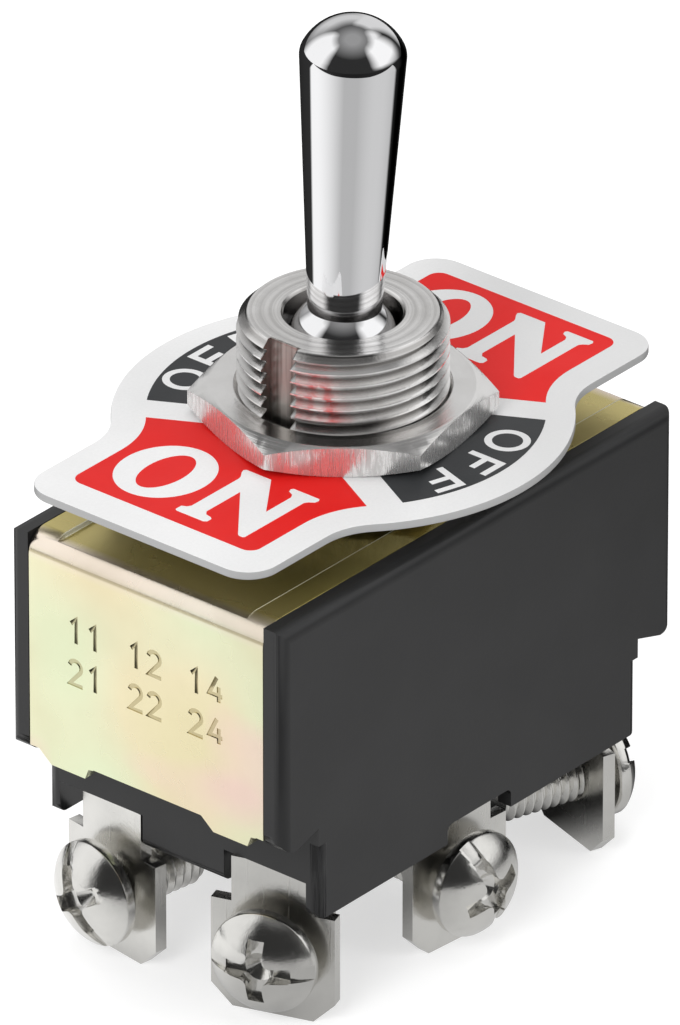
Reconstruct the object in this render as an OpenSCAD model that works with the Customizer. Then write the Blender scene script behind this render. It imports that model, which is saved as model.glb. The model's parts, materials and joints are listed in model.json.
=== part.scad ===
// Panel toggle switch, on-off-on, two poles, six screw terminals.
// Millimetres. X runs along the housing in the direction the lever is thrown, Z points up the bushing.
// Z = 0 is the plane of the terminals' lower ends, and the bushing's axis is X = Y = 0.

/* [Housing] */
// Housing length over the ears
housing_l = 34.4; // [34:0.1:36]
// Housing width over the side walls
housing_w = 20; // [19.8:0.1:21]
// Housing height from the top of the side walls to the underside
housing_h = 19.6; // [19.4:0.1:20.4]
// Length of the lower body, below the ears
lower_l = 28.2; // [27.8:0.1:28.8]
// Depth of the ears below the top
ear_drop = 14.2; // [13.8:0.1:14.6]
// Rise of the ears' underside towards the lower body
ear_rise = 0.6; // [0.3:0.1:0.9]
// Radius at the foot of each ear
ear_r = 1.1; // [0.6:0.1:1.5]
// Thickness of the side walls beside the frame
wall_t = 1.4; // [1.2:0.1:1.6]
// Radius on the side walls' outer top edge
wall_top_r = 0.8; // [0.4:0.1:1]
// Radius on the upright corners
corner_r = 0.7; // [0.4:0.1:0.9]
// Thickness of the floor that carries the contacts
floor_t = 1.5; // [1.4:0.1:1.8]
// Depth of the terminal pockets in the underside
pocket_d = 2.1; // [1.9:0.1:2.3]
// Half width of the rib between the two rows of pockets
rib_half = 3.05; // [2.8:0.05:3.2]
// Width of the notch beside each middle terminal
notch_w = 5.6; // [5.5:0.1:6.2]
// Height of the notch beside each middle terminal
notch_h = 1.2; // [0.9:0.1:1.5]

/* [Frame] */
// Sheet thickness of the steel frame
sheet_t = 0.9; // [0.8:0.05:1]
// Width of the frame
frame_w = 17.1; // [16.9:0.05:17.15]
// Outer bend radius of the frame
bend_r = 1.4; // [1.2:0.1:1.8]
// Depth of the end plates below the top, without their feet
plate_drop = 13.6; // [13.2:0.1:13.8]
// How far the feet reach below the end plates
foot_h = 0.75; // [0.5:0.05:0.9]
// Width of the channel pressed into the top
channel_w = 13.8; // [13:0.1:14.4]
// Depth of the channel pressed into the top
channel_d = 0.25; // [0.15:0.05:0.3]

/* [Bushing] */
// Thread diameter of the bushing
thread_d = 12; // [11.9:0.1:12.1]
// Height of the bushing above the frame
bush_h = 9.95; // [9.6:0.05:10.2]
// Chamfer at the bushing's mouth
bush_chamfer = 0.65; // [0.4:0.05:0.8]
// Diameter of the bushing's bore
bore_d = 6.74; // [6.7:0.02:6.8]
// Width of the keyway
key_w = 2.1; // [1.6:0.1:2.2]
// Depth of the keyway
key_d = 0.9; // [0.7:0.05:1]

/* [Lever] */
// Height of the lever's tip above the frame when upright
lever_h = 28.05; // [27:0.05:30]
// Lever diameter at the thick end
lever_d = 6.05; // [5.8:0.05:6.2]
// Height of the crowned tip above the lever's cone
crown_h = 2.35; // [2:0.05:2.6]
// Lever diameter where it enters the bushing
neck_d = 4.2; // [4:0.1:4.4]
// Height of the pivot above the frame
pivot_h = 7.6; // [7.5:0.1:7.8]
// Play to one side that the lever rests at, in degrees
rest_lean = 2.7; // [0:0.1:3]

/* [Nuts and legend plate] */
// Width of both nuts across the flats
nut_af = 15.15; // [14.8:0.05:15.4]
// Thickness of the upper nut
upper_nut_t = 1.9; // [1.7:0.05:2]
// Thickness of the lower nut
lower_nut_t = 2; // [1.8:0.05:2]
// Turn of the nuts about the bushing, in degrees
nut_turn = 9.4; // [0:0.1:60]
// Legend plate length over both wings
plate_l = 36; // [35:0.1:37]
// Width of the legend plate's wings
plate_w = 17; // [16.4:0.1:17.4]
// Diameter of the legend plate's round middle
plate_d = 26.1; // [25.6:0.1:26.4]
// Thickness of the legend plate
plate_t = 0.5; // [0.45:0.05:0.6]
// Height of the legend plate's top above the frame
plate_z = 3.4; // [3.4:0.05:3.5]

/* [Terminals] */
// How far the terminals hang below the housing
tab_drop = 7.6; // [7.4:0.1:8]
// Width of a terminal
tab_w = 7.5; // [7.2:0.1:7.7]
// Height of a terminal's wide part
tab_h = 6.8; // [6.6:0.1:6.9]
// Width of a terminal's neck
neck_w = 5; // [4.6:0.1:5.2]
// Sheet thickness of the terminals
tab_t = 0.8; // [0.7:0.05:0.9]
// Corner chamfer of the terminals
tab_chamfer = 1.3; // [1:0.1:1.5]
// Distance of the rivets from the housing's long centre line
rivet_y = 4.8; // [4.75:0.05:4.9]
// Distance of the end rivets from the bushing's axis
rivet_x = 9.3; // [9.2:0.1:9.4]
// Reach of the end terminals beyond their rivets
end_reach = 4.1; // [4:0.1:4.2]
// Reach of the middle terminals beyond their rivets
mid_reach = 3.65; // [3.6:0.05:3.7]
// Turn of the end terminals on the near side, in degrees
twist_near = 18; // [0:1:20]
// Turn of the end terminals on the far side, in degrees
twist_far = 9; // [0:1:12]
// Turn of the middle terminals, in degrees
twist_mid = 5; // [0:1:6]

/* [Terminal screws] */
// Screw thread diameter
screw_d = 3.5; // [3.4:0.1:3.5]
// Screw head diameter
head_d = 6.3; // [6:0.1:6.4]
// Screw head height
head_h = 2.2; // [2:0.1:2.3]
// Screw length under the head
screw_l = 6.6; // [6:0.1:6.7]
// Gap under the head, for the wire
wire_gap = 0.9; // [0.85:0.05:1]
// Height of the screws' axes above the terminals' lower ends
screw_z = 4.1; // [4:0.1:4.2]

/* [Hidden] */
$fn = 48;
// clearances
fit = 0.05;
gap = 0.1;
eps = 0.01;
// main planes
top_z = housing_h + tab_drop;
hl = housing_l / 2;
hw = housing_w / 2;
ll = lower_l / 2;
in_w = hw - wall_t;
core_l = hl - sheet_t - fit;
core_top = -sheet_t - fit;
base_r = 0.6;
inner_bend_r = bend_r - sheet_t;
// inside of the housing
cav_l = 12.6;
cav_w = 8.2;
ceil_z = -housing_h + pocket_d;
floor_z = ceil_z + floor_t;
post_y = hw - 0.95;
pocket_in = 10.1 - 3.7;
mid_half = 3.9;
// frame opening and bushing
shank_r = 6.5;
flange_r = 7.9;
flange_t = 1.4;
thread_r = thread_d / 2;
core_r = thread_r - 0.2;
free_z = plate_z + upper_nut_t + 0.05;
seat_clear = 0.07;
ball_r = bore_d / 2 - seat_clear;
mouth_low = -core_top + flange_t;
throat_z = 6.2;
throat_r = 2.9;
cone_r = 5.2;
// hinge pin
pin_r = 0.8;
pin_l = 9.6;
slot_l = 9.8;
// lever
crown_z = lever_h - crown_h;
crown_edge_r = 1.3;
crown_in = lever_d / 2 - crown_edge_r;
crown_r = (crown_in ^ 2 + crown_h ^ 2 - crown_edge_r ^ 2) / 2 / (crown_h - crown_edge_r);
crown_turn = asin(crown_in / (crown_r - crown_edge_r));
neck_z = 10;
shank_low = 10.9;
act_seat = 3;
lever_shank_r = 1.9;
// actuator and plungers
act_l = 5.6;
act_h = 5;
act_w = 2 * (rivet_y + 2.3);
act_top = 11;
plunger_r = 1.45;
plunger_l = 3.2;
plunger_gap = 0.3;
well_r = plunger_r + fit;
well_d = 4.2;
coil_r = 1.1;
wire_r = 0.16;
turns = 11;
// rockers
throw_deg = 13;
rocker_deg = 8;
rocker_ratio = rocker_deg / throw_deg;
rocker_z = floor_z + 2.6;
rocker_l = 10.6;
rocker_w = 4.2;
hub_r = 1.05;
edge_r = 0.4;
wing_lo = 0.35;
button_r = 1.3;
button_n = -0.25;
contact_gap = 0.1;
plunger_z = rocker_z + hub_r + plunger_gap;
tip_drop = pivot_h - plunger_z;
// nuts, washer and plate
nut_bore_r = core_r + fit;
nut_bevel = 0.5;
washer_t = 0.75;
washer_r = 8.3;
teeth = 12;
plate_corner_r = 2;
plate_fillet_r = 4;
// terminals
foot_z = ceil_z - tab_t;
foot_in = 2;
rivet_r = 1.25;
rivet_head_r = 1.9;
rivet_head_h = 0.5;
contact_r = 1.7;
post_foot_h = 0.8;
shoulder_z = -top_z + tab_h;
tab_screw_z = -top_z + screw_z;
// each terminal's rivet in X and Y, the way its tab faces and how far out the tab stands
spots = [
  [-rivet_x, -rivet_y, 180 + twist_near, end_reach],
  [0, -rivet_y, 270 - twist_mid, mid_reach],
  [rivet_x, -rivet_y, -twist_near, end_reach],
  [-rivet_x, rivet_y, 180 - twist_far, end_reach],
  [0, rivet_y, 90 - twist_mid, mid_reach],
  [rivet_x, rivet_y, twist_far, end_reach]
];
// screws
thread_fit = 0.05;
rim_h = 0.7;
slot_w = 0.8;
slot_d = 0.9;
cross_w = 1.05;
cross_l = 3.4;
cross_d = 1.3;
tip_h = 0.4;
// how far round each screw was left when it was driven, in degrees
recess_turns = [90, 20, 60, 30, 75, 10];

// a box given by its low and high corners
module box(lo, hi) {
  translate(lo)
    cube([hi[0] - lo[0], hi[1] - lo[1], hi[2] - lo[2]]);
}

// a rectangle about the origin with round corners
module round_rect(l, w, r) {
  square([l, w - 2 * r], center = true);
  square([l - 2 * r, w], center = true);
  for (sx = [-1, 1], sy = [-1, 1])
    translate([sx * (l / 2 - r), sy * (w / 2 - r)])
      circle(r);
}

// extrudes an outline drawn in X and Z along Y, w wide about the centre
module along_y(w) {
  rotate([90, 0, 0])
    linear_extrude(height = w, center = true)
      children();
}

// what is cut from a square corner at the lower right to round it
module corner_cut(x, z, r) {
  translate([x - r, z + r])
    difference() {
      translate([0, -r - 1])
        square([r + 1, r + 1]);
      circle(r);
    }
}

// one half of the housing's side view, in X and Z
module side_half() {
  difference() {
    polygon([
      [-1, 0],
      [hl, 0],
      [hl, -ear_drop],
      [hl - ear_r, -ear_drop],
      [ll, -ear_drop + ear_rise],
      [ll, -housing_h],
      [-1, -housing_h]
    ]);
    corner_cut(hl, -ear_drop, ear_r);
    corner_cut(ll, -housing_h, base_r);
  }
}

module side_view() {
  side_half();
  mirror([1, 0])
    side_half();
}

// the housing's end view, in Y and Z, with round top edges
module end_view() {
  difference() {
    translate([-hw, -housing_h])
      square([housing_w, housing_h]);
    for (s = [-1, 1])
      translate([s * hw, 0])
        difference() {
          square(2 * wall_top_r, center = true);
          translate([-s * wall_top_r, -wall_top_r])
            circle(wall_top_r);
        }
  }
}

// the outside of the housing
module housing_block() {
  intersection() {
    along_y(housing_w)
      side_view();
    rotate([90, 0, 90])
      linear_extrude(height = housing_l, center = true)
        end_view();
    union() {
      translate([0, 0, -ear_drop - ear_rise])
        linear_extrude(height = ear_drop + ear_rise)
          round_rect(housing_l, housing_w, corner_r);
      translate([0, 0, -housing_h])
        linear_extrude(height = housing_h)
          round_rect(lower_l, housing_w, corner_r);
    }
  }
}

// the housing's core inside the frame, in X and Z, its top edges round inside the frame's bends
module core_outline() {
  difference() {
    translate([-core_l, -housing_h])
      square([2 * core_l, housing_h + core_top]);
    for (m = [0, 1])
      mirror([m, 0])
        mirror([0, 1])
          corner_cut(core_l, -core_top, inner_bend_r - fit);
  }
}

// the space that the frame takes from the housing
module frame_room() {
  difference() {
    box([-hl - 1, -in_w, -ear_drop - 1], [hl + 1, in_w, 1]);
    along_y(2 * in_w + 2)
      core_outline();
  }
}

// pockets in the underside, round the feet of the terminals
module pockets() {
  for (sy = [-1, 1]) {
    for (sx = [-1, 1])
      translate([sx * (ll - 0.5 * (ll - pocket_in) + 0.5), sy * (rib_half + post_y) / 2, ceil_z - 5])
        cube([ll - pocket_in + 1, post_y - rib_half, 10], center = true);
    translate([0, sy * (rib_half + post_y) / 2, ceil_z - 5])
      cube([2 * mid_half, post_y - rib_half, 10], center = true);
    translate([0, sy * hw, -housing_h])
      rotate([90, 0, 0])
        linear_extrude(height = 4, center = true)
          round_rect(notch_w, 2 * notch_h, 0.4);
  }
}

// places what goes with terminal i, drawn about its rivet with the tab out along X
module at_terminal(i) {
  translate([spots[i - 1][0], spots[i - 1][1], 0])
    rotate([0, 0, spots[i - 1][2]])
      children();
}

// the room round one terminal's foot, its rivet's lower end and the rivet itself
module foot_room(reach) {
  box(
    [-foot_in - gap, -neck_w / 2 - gap, ceil_z - 5],
    [reach + tab_t / 2 + gap, neck_w / 2 + gap, ceil_z]
  );
  translate([0, 0, ceil_z - 5])
    cylinder(h = 5, r = rivet_head_r + gap);
  translate([0, 0, ceil_z - 1])
    cylinder(h = floor_t + 2, r = rivet_r + fit);
}

module housing() {
  color([0.2, 0.2, 0.21])
    translate([0, 0, top_z])
      difference() {
        housing_block();
        frame_room();
        box([-cav_l, -cav_w, floor_z], [cav_l, cav_w, 1]);
        pockets();
        for (i = [1 : 6])
          at_terminal(i)
            foot_room(spots[i - 1][3]);
      }
}

// the frame's side view, in X and Z
module frame_outline() {
  difference() {
    union() {
      translate([-hl, -plate_drop])
        square([housing_l, plate_drop - bend_r]);
      translate([-hl + bend_r, -plate_drop])
        square([housing_l - 2 * bend_r, plate_drop]);
      for (s = [-1, 1])
        translate([s * (hl - bend_r), -bend_r])
          circle(bend_r);
    }
    translate([-hl + sheet_t, -plate_drop - 1])
      square([housing_l - 2 * sheet_t, plate_drop + 1 - bend_r]);
    translate([-hl + bend_r, -plate_drop - 1])
      square([housing_l - 2 * bend_r, plate_drop + 1 - sheet_t]);
    for (s = [-1, 1])
      translate([s * (hl - bend_r), -bend_r])
        circle(inner_bend_r);
  }
}

// one foot of an end plate, in Y and Z, slanted on one side and notched on the other
module foot_outline() {
  polygon([
    [1.9, 0.5],
    [1.9, 0],
    [1, -foot_h],
    [-1.5, -foot_h],
    [-1.75, -0.1],
    [-2.1, -0.05],
    [-2.1, 0.5]
  ]);
}

module frame() {
  color([0.78, 0.72, 0.5])
    translate([0, 0, top_z])
      difference() {
        union() {
          along_y(frame_w)
            frame_outline();
          for (sx = [-1, 1], y = [6, -5.9])
            translate([sx * (hl - sheet_t / 2), y, -plate_drop])
              rotate([90, 0, 90])
                linear_extrude(height = sheet_t, center = true)
                  foot_outline();
        }
        box([-hl - 1, -channel_w / 2, -channel_d], [hl + 1, channel_w / 2, 1]);
        translate([0, 0, -5])
          cylinder(h = 10, r = shank_r + fit, $fn = 64);
      }
}

module bushing() {
  color([0.72, 0.72, 0.72])
    translate([0, 0, top_z])
      difference() {
        union() {
          translate([0, 0, -mouth_low])
            cylinder(h = flange_t, r = flange_r, $fn = 64);
          translate([0, 0, core_top - eps])
            cylinder(h = -core_top + eps, r = shank_r, $fn = 64);
          translate([0, 0, -eps])
            cylinder(h = free_z + 2 * eps, r = core_r, $fn = 64);
          translate([0, 0, free_z])
            cylinder(h = bush_h - bush_chamfer - free_z, r = thread_r, $fn = 64);
          translate([0, 0, bush_h - bush_chamfer - eps])
            cylinder(h = bush_chamfer + eps, r1 = thread_r, r2 = thread_r - bush_chamfer, $fn = 64);
        }
        translate([0, 0, pivot_h])
          sphere(bore_d / 2);
        translate([0, 0, pivot_h])
          cylinder(h = bush_h, d = bore_d);
        translate([0, 0, -mouth_low - eps])
          cylinder(h = throat_z + mouth_low + 2 * eps, r1 = cone_r, r2 = throat_r);
        box([-thread_r - 1, -key_w / 2, 0.3], [-thread_r + key_d, key_w / 2, bush_h + 1]);
        box([-pin_r - fit, -slot_l / 2, -mouth_low - 1], [pin_r + fit, slot_l / 2, pivot_h]);
        translate([0, 0, pivot_h])
          rotate([90, 0, 0])
            cylinder(h = slot_l, r = pin_r + fit, center = true, $fn = 32);
      }
}

// places what moves with the lever, drawn about its pivot
module on_lever() {
  translate([0, 0, top_z + pivot_h])
    rotate([0, rest_lean, 0])
      children();
}

// the lever's tip: a wide crown whose rim is rounded into the cone
module crown() {
  rotate_extrude($fn = 64)
    difference() {
      intersection() {
        square([lever_d / 2, crown_h + 1]);
        translate([0, crown_h - crown_r])
          circle(crown_r, $fn = 192);
      }
      difference() {
        polygon([
          [crown_in, 0],
          [crown_in + lever_d, 0],
          [crown_in + lever_d, lever_d],
          [crown_in + lever_d * sin(crown_turn), lever_d * cos(crown_turn)]
        ]);
        translate([crown_in, 0])
          circle(crown_edge_r, $fn = 96);
      }
    }
}

module lever() {
  color([0.85, 0.85, 0.86])
    on_lever()
      difference() {
        union() {
          sphere(ball_r, $fn = 64);
          translate([0, 0, neck_z - pivot_h - 1])
            cylinder(h = 1 + eps, d = neck_d, $fn = 64);
          translate([0, 0, neck_z - pivot_h])
            cylinder(h = crown_z - neck_z, d1 = neck_d, d2 = lever_d, $fn = 64);
          translate([0, 0, crown_z - pivot_h])
            crown();
          translate([0, 0, -shank_low - act_seat])
            cylinder(h = shank_low + act_seat, r = lever_shank_r);
        }
        rotate([90, 0, 0])
          cylinder(h = slot_l, r = pin_r + fit, center = true, $fn = 32);
      }
}

module lever_pin() {
  color([0.6, 0.6, 0.62])
    on_lever()
      rotate([90, 0, 0])
        cylinder(h = pin_l, r = pin_r, center = true, $fn = 32);
}

module actuator() {
  color([0.9, 0.9, 0.86])
    on_lever()
      difference() {
        translate([0, 0, -act_top - act_h / 2])
          cube([act_l, act_w, act_h], center = true);
        translate([0, 0, -shank_low - act_seat - fit])
          cylinder(h = act_h, r = lever_shank_r + fit);
        for (s = [-1, 1])
          translate([0, s * rivet_y, -act_top - act_h - eps])
            cylinder(h = well_d, r = well_r);
      }
}

// a plunger with a round tip, in its well
module plunger(s) {
  on_lever()
    translate([0, s * rivet_y, -tip_drop + plunger_r]) {
      sphere(plunger_r);
      cylinder(h = plunger_l, r = plunger_r);
    }
}

module plunger_near() {
  color([0.85, 0.8, 0.65])
    plunger(-1);
}

module plunger_far() {
  color([0.85, 0.8, 0.65])
    plunger(1);
}

// a pressure spring, wound close, its turns touching
module spring(s) {
  z_lo = -tip_drop + plunger_r + plunger_l + wire_r + fit;
  z_hi = -act_top - act_h + well_d - wire_r - fit;
  pitch = (z_hi - z_lo) / (turns - 1);
  on_lever()
    translate([0, s * rivet_y, z_lo])
      for (i = [0 : turns - 1])
        translate([0, 0, i * pitch])
          rotate_extrude($fn = 24)
            translate([coil_r, 0])
              circle(wire_r, $fn = 16);
}

module spring_near() {
  color([0.7, 0.7, 0.72])
    spring(-1);
}

module spring_far() {
  color([0.7, 0.7, 0.72])
    spring(1);
}

// a rocking contact arm, with a wing and a button towards each end terminal
module rocker(s) {
  translate([0, s * rivet_y, top_z + rocker_z])
    rotate([0, -rocker_ratio * rest_lean, 0])
      difference() {
        union() {
          rotate([90, 0, 0])
            cylinder(h = rocker_w, r = hub_r, center = true);
          for (e = [-1, 1])
            rotate([0, -e * rocker_deg, 0]) {
              translate([e * rocker_l / 2, 0, (wing_lo + hub_r) / 2])
                cube([rocker_l, rocker_w, hub_r - wing_lo], center = true);
              translate([e * rivet_x, 0, button_n])
                cylinder(h = wing_lo - button_n + eps, r = button_r);
            }
        }
        rotate([90, 0, 0])
          cylinder(h = rocker_w + 1, r = edge_r + fit, center = true);
        translate([0, 0, -gap - 1])
          cube([2 * hub_r + 1, rocker_w + 1, 2], center = true);
      }
}

module rocker_near() {
  color([0.72, 0.5, 0.3])
    rocker(-1);
}

module rocker_far() {
  color([0.72, 0.5, 0.3])
    rocker(1);
}

// the lower end of a rivet, closed under the terminal's foot
module rivet_foot() {
  translate([0, 0, foot_z - rivet_head_h])
    cylinder(h = rivet_head_h, r = rivet_head_r);
  translate([0, 0, foot_z - rivet_head_h])
    cylinder(h = tab_t + floor_t + rivet_head_h + eps, r = rivet_r);
}

// a post riveted through the floor, whose round edge carries the rocker
module rocker_post(s) {
  translate([0, s * rivet_y, top_z]) {
    rivet_foot();
    translate([0, 0, floor_z])
      cylinder(h = post_foot_h, r = rivet_head_r);
    translate([0, 0, (floor_z + rocker_z) / 2])
      cube([2 * edge_r, rocker_w - 0.6, rocker_z - floor_z], center = true);
    translate([0, 0, rocker_z])
      rotate([90, 0, 0])
        cylinder(h = rocker_w - 0.6, r = edge_r, center = true);
  }
}

module rocker_post_near() {
  color([0.75, 0.6, 0.3])
    rocker_post(-1);
}

module rocker_post_far() {
  color([0.75, 0.6, 0.3])
    rocker_post(1);
}

// a fixed contact riveted through the floor
module contact(sx, sy) {
  color([0.8, 0.79, 0.76])
    translate([sx * rivet_x, sy * rivet_y, top_z]) {
      rivet_foot();
      translate([0, 0, floor_z])
        cylinder(h = rocker_z + button_n - contact_gap - floor_z, r = contact_r);
    }
}

module contact_1() {
  contact(-1, -1);
}

module contact_3() {
  contact(1, -1);
}

module contact_4() {
  contact(-1, 1);
}

module contact_6() {
  contact(1, 1);
}

// a hexagon nut with both faces bevelled
module nut(t) {
  rc = nut_af / sqrt(3);
  rotate([0, 0, nut_turn])
    difference() {
      intersection() {
        cylinder(h = t, r = rc, $fn = 6);
        rotate_extrude($fn = 64)
          polygon([
            [0, 0],
            [nut_af / 2 - 0.1, 0],
            [rc + eps, nut_bevel],
            [rc + eps, t - nut_bevel],
            [nut_af / 2 - 0.1, t],
            [0, t]
          ]);
      }
      translate([0, 0, -1])
        cylinder(h = t + 2, r = nut_bore_r, $fn = 64);
      for (z = [0, t])
        translate([0, 0, z])
          rotate([z > 0 ? 180 : 0, 0, 0])
            translate([0, 0, -eps])
              cylinder(h = 0.35, r1 = nut_bore_r + 0.35, r2 = nut_bore_r, $fn = 64);
    }
}

module lower_nut() {
  color([0.72, 0.72, 0.72])
    translate([0, 0, top_z])
      nut(lower_nut_t);
}

module upper_nut() {
  color([0.74, 0.73, 0.72])
    translate([0, 0, top_z + plate_z])
      nut(upper_nut_t);
}

module lock_washer() {
  color([0.65, 0.65, 0.66])
    translate([0, 0, top_z + lower_nut_t + fit])
      difference() {
        cylinder(h = washer_t, r = washer_r, $fn = 64);
        translate([0, 0, -1])
          cylinder(h = washer_t + 2, r = nut_bore_r + 0.25, $fn = 64);
        for (i = [0 : teeth - 1])
          rotate([0, 0, i * 360 / teeth])
            translate([washer_r, 0, washer_t / 2])
              cube([1.8, 1.4, washer_t + 1], center = true);
      }
}

// the fillet between a wing's edge and the round middle, in the first quarter
module plate_fillet() {
  rd = plate_d / 2;
  cy = plate_w / 2 + plate_fillet_r;
  cx = sqrt(pow(rd + plate_fillet_r, 2) - pow(cy, 2));
  k = rd / (rd + plate_fillet_r);
  difference() {
    polygon([[0, 0], [cx, 0], [cx, cy], [cx * k, cy * k]]);
    translate([cx, cy])
      circle(plate_fillet_r, $fn = 64);
  }
}

module legend_plate() {
  color([0.86, 0.86, 0.87])
    translate([0, 0, top_z + plate_z - plate_t])
      linear_extrude(height = plate_t)
        difference() {
          union() {
            round_rect(plate_l, plate_w, plate_corner_r);
            circle(d = plate_d, $fn = 96);
            for (mx = [0, 1], my = [0, 1])
              mirror([mx, 0])
                mirror([0, my])
                  plate_fillet();
          }
          difference() {
            circle(nut_bore_r, $fn = 64);
            translate([-nut_bore_r, 0])
              square([2 * (nut_bore_r - core_r + key_d - 0.3), key_w - 0.2], center = true);
          }
        }
}

// a terminal's outline, in its own width and Z, centred on the width
module tab_outline() {
  c = tab_chamfer;
  polygon([
    [-tab_w / 2, -top_z + c],
    [-tab_w / 2 + c, -top_z],
    [tab_w / 2 - c, -top_z],
    [tab_w / 2, -top_z + c],
    [tab_w / 2, shoulder_z],
    [neck_w / 2, shoulder_z],
    [neck_w / 2, ceil_z],
    [-neck_w / 2, ceil_z],
    [-neck_w / 2, shoulder_z],
    [-tab_w / 2, shoulder_z]
  ]);
}

// an angled terminal, its foot riveted under the floor and its tab hanging down
module terminal(i) {
  reach = spots[i - 1][3];
  color([0.74, 0.73, 0.72])
    translate([0, 0, top_z])
      at_terminal(i)
        difference() {
          union() {
            translate([reach, 0, 0])
              rotate([90, 0, 90])
                linear_extrude(height = tab_t, center = true)
                  tab_outline();
            box([-foot_in, -neck_w / 2, foot_z], [reach, neck_w / 2, ceil_z - eps]);
          }
          translate([0, 0, foot_z - 1])
            cylinder(h = tab_t + 2, r = rivet_r + fit);
          translate([reach, 0, tab_screw_z])
            rotate([0, 90, 0])
              cylinder(h = tab_t + 2, r = screw_d / 2 + thread_fit, center = true);
        }
}

// a pan head screw with a slot and a cross, its head outside the tab
module screw(i) {
  cap_h = head_h - rim_h;
  cap_r = (pow(head_d / 2, 2) + pow(cap_h, 2)) / 2 / cap_h;
  color([0.76, 0.75, 0.74])
    translate([0, 0, top_z])
      at_terminal(i)
        translate([spots[i - 1][3] + tab_t / 2 + wire_gap, 0, tab_screw_z])
          rotate([0, 90, 0])
            rotate([0, 0, recess_turns[i - 1]])
              difference() {
                union() {
                  intersection() {
                    cylinder(h = head_h, d = head_d);
                    translate([0, 0, head_h - cap_r])
                      sphere(cap_r, $fn = 64);
                  }
                  translate([0, 0, tip_h - screw_l])
                    cylinder(h = screw_l, d = screw_d, $fn = 32);
                  translate([0, 0, -screw_l])
                    cylinder(h = tip_h + eps, d1 = screw_d - 2 * tip_h, d2 = screw_d, $fn = 32);
                }
                translate([0, 0, head_h])
                  cube([head_d + 1, slot_w, 2 * slot_d], center = true);
                translate([0, 0, head_h])
                  cube([cross_l, cross_w, 2 * cross_d], center = true);
                translate([0, 0, head_h])
                  cube([cross_w, cross_l, 2 * cross_d], center = true);
              }
}

module terminal_1() {
  terminal(1);
}

module terminal_2() {
  terminal(2);
}

module terminal_3() {
  terminal(3);
}

module terminal_4() {
  terminal(4);
}

module terminal_5() {
  terminal(5);
}

module terminal_6() {
  terminal(6);
}

module screw_1() {
  screw(1);
}

module screw_2() {
  screw(2);
}

module screw_3() {
  screw(3);
}

module screw_4() {
  screw(4);
}

module screw_5() {
  screw(5);
}

module screw_6() {
  screw(6);
}

housing();
frame();
bushing();
lever();
lever_pin();
actuator();
plunger_near();
plunger_far();
spring_near();
spring_far();
rocker_near();
rocker_far();
rocker_post_near();
rocker_post_far();
lower_nut();
lock_washer();
legend_plate();
upper_nut();
contact_1();
contact_3();
contact_4();
contact_6();
terminal_1();
terminal_2();
terminal_3();
terminal_4();
terminal_5();
terminal_6();
screw_1();
screw_2();
screw_3();
screw_4();
screw_5();
screw_6();
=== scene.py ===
"""Panel toggle switch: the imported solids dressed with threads, printing, stamping and finishes.

The bushing stands along Z and the lever is thrown along X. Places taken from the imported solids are
in metres. Outlines and tools drawn here are in millimetres, and MM brings them into metres.
"""

import json
import math

import bpy
from mathutils import Matrix, Vector

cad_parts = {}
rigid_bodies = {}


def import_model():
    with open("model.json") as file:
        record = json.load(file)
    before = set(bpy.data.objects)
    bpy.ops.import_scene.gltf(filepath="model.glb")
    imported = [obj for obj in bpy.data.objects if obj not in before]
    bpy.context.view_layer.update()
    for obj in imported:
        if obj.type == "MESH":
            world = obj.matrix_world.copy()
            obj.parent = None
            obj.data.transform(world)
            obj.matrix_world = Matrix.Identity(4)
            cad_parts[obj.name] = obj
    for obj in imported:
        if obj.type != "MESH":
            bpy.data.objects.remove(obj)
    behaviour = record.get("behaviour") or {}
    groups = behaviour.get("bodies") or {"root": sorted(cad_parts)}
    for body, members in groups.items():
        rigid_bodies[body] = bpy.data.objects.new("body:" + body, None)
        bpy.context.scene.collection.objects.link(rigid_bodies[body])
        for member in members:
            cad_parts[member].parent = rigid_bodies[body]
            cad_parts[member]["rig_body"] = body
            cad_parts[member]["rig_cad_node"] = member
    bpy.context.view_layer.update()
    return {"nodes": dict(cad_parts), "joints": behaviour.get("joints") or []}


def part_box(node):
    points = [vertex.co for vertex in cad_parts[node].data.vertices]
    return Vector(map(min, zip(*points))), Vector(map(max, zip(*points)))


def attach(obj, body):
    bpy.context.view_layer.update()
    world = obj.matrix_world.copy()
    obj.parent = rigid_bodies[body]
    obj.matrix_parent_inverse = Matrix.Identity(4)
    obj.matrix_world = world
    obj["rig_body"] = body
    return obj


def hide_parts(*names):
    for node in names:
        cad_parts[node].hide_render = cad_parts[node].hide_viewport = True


MM = 0.001
TURN = math.tau

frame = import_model()
nodes = frame["nodes"]

# Main planes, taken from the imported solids
frame_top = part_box("frame")[1].z
plate_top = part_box("legend_plate")[1].z
plate_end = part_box("legend_plate")[1].x
bush_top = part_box("bushing")[1].z
bush_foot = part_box("bushing")[0].z
bush_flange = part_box("bushing")[1].x
end_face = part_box("frame")[0].x
joints = {joint["name"]: joint for joint in frame["joints"]}
pivot = Vector(joints["lever_throw"]["pos_m"])

# Bushing, in millimetres
THREAD_R = 6.0
THREAD_ROOT = 5.52
THREAD_PITCH = 0.75
KEY_FLOOR = 5.1
KEY_HALF = 1.05
# Channel pressed into the frame's top
CHANNEL_HALF = 6.9 * MM
# Depth of the stamped numbers
STAMP_DEPTH = 0.05 * MM


# ---------------------------------------------------------------- hand tools


def let_go():
    """Leaves edit mode and selects nothing."""
    if bpy.context.object and bpy.context.object.mode != "OBJECT":
        bpy.ops.object.mode_set(mode="OBJECT")
    bpy.ops.object.select_all(action="DESELECT")


def pick(piece):
    """Makes piece the one that is selected and active."""
    let_go()
    piece.select_set(True)
    bpy.context.view_layer.objects.active = piece


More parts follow.
